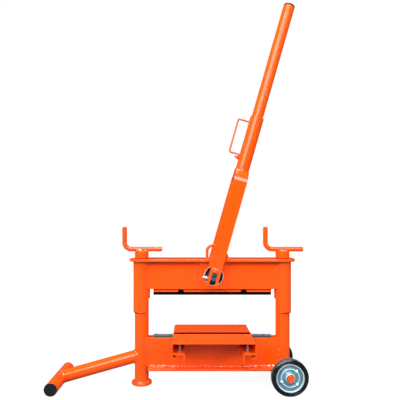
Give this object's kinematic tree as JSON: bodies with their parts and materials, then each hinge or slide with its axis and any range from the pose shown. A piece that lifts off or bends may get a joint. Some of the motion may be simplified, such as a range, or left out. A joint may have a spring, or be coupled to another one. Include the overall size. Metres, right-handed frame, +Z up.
{
  "type": "masonry block splitter",
  "caption": "Hand lever block splitter: a crosshead on screw-adjusted posts presses a blade down onto a block held on a sprung split table over a fixed blade, with outrigger and wheels.",
  "frame": {"origin": "on the ground under the middle of the whole outline", "axes": "+Z up; +X along the blades from the outrigger to the wheels; +Y away from the side in the picture"},
  "size_m": [0.9118, 0.274, 1.3922],
  "materials": {
    "orange_paint": "gloss enamel over steel",
    "machined_steel": "turned, oiled",
    "raw_steel": "rolled, blue grey scale",
    "black_steel": "blackened",
    "zinc_plate": "bright zinc plate",
    "spring_steel": "dark oiled",
    "black_plastic": "moulded",
    "tyre_rubber": "moulded solid rubber"
  },
  "bodies": {
    "base": {"left_post": "orange_paint", "right_post": "orange_paint", "spindle_nuts": "machined_steel", "left_foot": "orange_paint", "lower_front_plate": "orange_paint", "lower_rear_plate": "orange_paint", "lower_flange": "orange_paint", "lower_blade": "raw_steel", "outrigger_arm": "orange_paint", "outrigger_crossbar": "orange_paint", "crossbar_plugs": "black_plastic", "axle_tube": "orange_paint", "axle": "machined_steel", "axle_washers": "zinc_plate", "axle_caps": "orange_paint", "table_brackets": "orange_paint", "table_front_springs": "spring_steel", "table_rear_springs": "spring_steel"},
    "crosshead": {"left_sleeve": "orange_paint", "right_sleeve": "orange_paint", "top_flange": "orange_paint", "beam_front_plate": "orange_paint", "beam_rear_plate": "orange_paint", "pivot_plate_front": "orange_paint", "pivot_plate_rear": "orange_paint", "pivot_bushes": "zinc_plate", "grease_nipples": "zinc_plate", "lifting_loop": "orange_paint", "spring_seats": "machined_steel", "return_springs": "spring_steel"},
    "left_crank": {"left_crank_bar": "orange_paint", "left_crank_hub": "orange_paint", "left_spindle": "machined_steel", "left_collar": "machined_steel"},
    "right_crank": {"right_crank_bar": "orange_paint", "right_crank_hub": "orange_paint", "right_spindle": "machined_steel", "right_collar": "machined_steel"},
    "lever": {"fork_leg_front": "orange_paint", "fork_leg_rear": "orange_paint", "fork_prongs": "orange_paint", "cam_shaft": "machined_steel", "lever_socket": "orange_paint", "brush_holder": "orange_paint", "clamp_screw": "orange_paint"},
    "extension": {"lever_tube": "orange_paint", "lever_cap": "black_plastic"},
    "blade_carriage": {"blade_carrier": "orange_paint", "upper_blade": "black_steel", "upper_blade_screws": "black_steel", "lift_studs": "zinc_plate"},
    "front_table": {"table_front": "orange_paint", "table_front_studs": "zinc_plate"},
    "rear_table": {"table_rear": "orange_paint", "table_rear_studs": "zinc_plate"},
    "front_wheel": {"front_tyre": "tyre_rubber", "front_rim": "zinc_plate"},
    "rear_wheel": {"rear_tyre": "tyre_rubber", "rear_rim": "zinc_plate"}
  },
  "joints": [
    {"name": "left_crank_turn", "type": "hinge", "parent": "crosshead", "child": "left_crank", "pos_m": [-0.13612, 0, 0.47], "axis": [0, 0, 1], "range_deg": [-8640, 0]},
    {"name": "right_crank_turn", "type": "hinge", "parent": "crosshead", "child": "right_crank", "pos_m": [0.38088, 0, 0.47], "axis": [0, 0, 1], "range_deg": [-8640, 0]},
    {"name": "crosshead_height", "type": "slide", "parent": "base", "child": "crosshead", "axis": [0, 0, 1], "range_m": [-0.12, 0]},
    {"name": "lever_pull", "type": "hinge", "parent": "crosshead", "child": "lever", "pos_m": [0.12687, 0, 0.397], "axis": [0, -1, 0], "range_deg": [0, 95]},
    {"name": "blade_press", "type": "slide", "parent": "crosshead", "child": "blade_carriage", "axis": [0, 0, -1], "range_m": [0, 0.01824], "deforming": ["return_springs"]},
    {"name": "extension_slide", "type": "slide", "parent": "lever", "child": "extension", "axis": [0.2756, 0, 0.9613], "range_m": [0, 0.12]},
    {"name": "front_table_spring", "type": "slide", "parent": "base", "child": "front_table", "axis": [0, 0, 1], "range_m": [-0.008, 0], "stiffness_N_per_m": 16000, "springref_m": 0.004, "deforming": ["table_front_springs"]},
    {"name": "rear_table_spring", "type": "slide", "parent": "base", "child": "rear_table", "axis": [0, 0, 1], "range_m": [-0.008, 0], "stiffness_N_per_m": 16000, "springref_m": 0.004, "deforming": ["table_rear_springs"]},
    {"name": "front_wheel_spin", "type": "hinge", "parent": "base", "child": "front_wheel", "pos_m": [0.38088, -0.116, 0.0635], "axis": [0, 1, 0], "continuous": true},
    {"name": "rear_wheel_spin", "type": "hinge", "parent": "base", "child": "rear_wheel", "pos_m": [0.38088, 0.116, 0.0635], "axis": [0, 1, 0], "continuous": true}
  ],
  "couplings": [
    {"joint": "crosshead_height", "follows": "left_crank_turn", "m_per_rad": 0.00079577},
    {"joint": "right_crank_turn", "follows": "left_crank_turn", "ratio": 1},
    {"joint": "blade_press", "follows": "lever_pull", "m_per_rad": 0.011}
  ]
}
